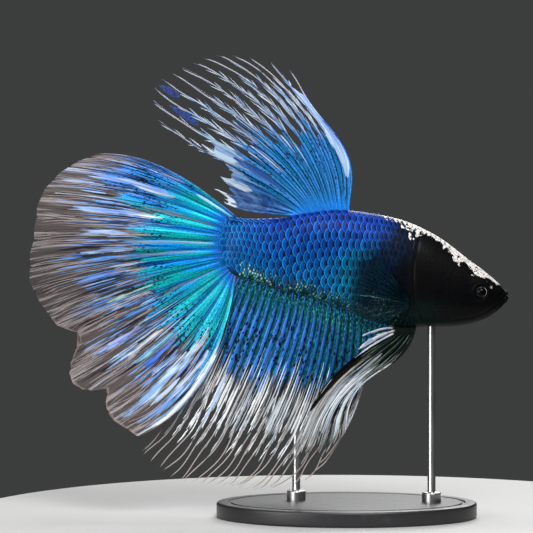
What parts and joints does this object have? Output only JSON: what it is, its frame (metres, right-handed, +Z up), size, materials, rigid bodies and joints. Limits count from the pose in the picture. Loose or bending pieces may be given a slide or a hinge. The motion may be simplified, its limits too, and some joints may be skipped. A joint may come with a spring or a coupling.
{
  "type": "betta fish model",
  "caption": "Life-size still model of a male betta fish with long spread fins, held over a flat oval base by slim rods.",
  "frame": {"origin": "centre of the underside of the stand's oval base", "axes": "+X towards the fish's head, +Z up, the fish's right side faces -Y"},
  "size_m": [0.0959, 0.036, 0.0926],
  "materials": {
    "blue_scales": "royal blue to cyan scales with a metallic sheen, darker towards the head",
    "black_head": "black skin, satin, with a pale speckled band over the forehead",
    "fin_blue": "thin rayed membrane, turquoise and blue running out to white and smoky grey",
    "fin_white": "thin rayed membrane, black with a green sheen and white outer rays",
    "fin_clear": "nearly clear rayed membrane with dim blue-green rays",
    "eye": "dark glossy eye",
    "stand_black": "satin black",
    "rod_steel": "brushed steel"
  },
  "bodies": {
    "root": {"head": "black_head", "lower_jaw": "black_head", "gill_cover_right": "black_head", "gill_cover_left": "black_head", "trunk": "blue_scales", "tail_stalk": "blue_scales", "eye_right": "eye", "eye_left": "eye", "dorsal_fin": "fin_blue", "tail_fin": "fin_blue", "anal_fin": "fin_blue", "pectoral_fin_right": "fin_clear", "pectoral_fin_left": "fin_clear", "ventral_fin_right": "fin_white", "ventral_fin_left": "fin_white", "stand_base": "stand_black", "stand_rod_front": "rod_steel", "stand_rod_rear": "rod_steel"}
  },
  "joints": []
}
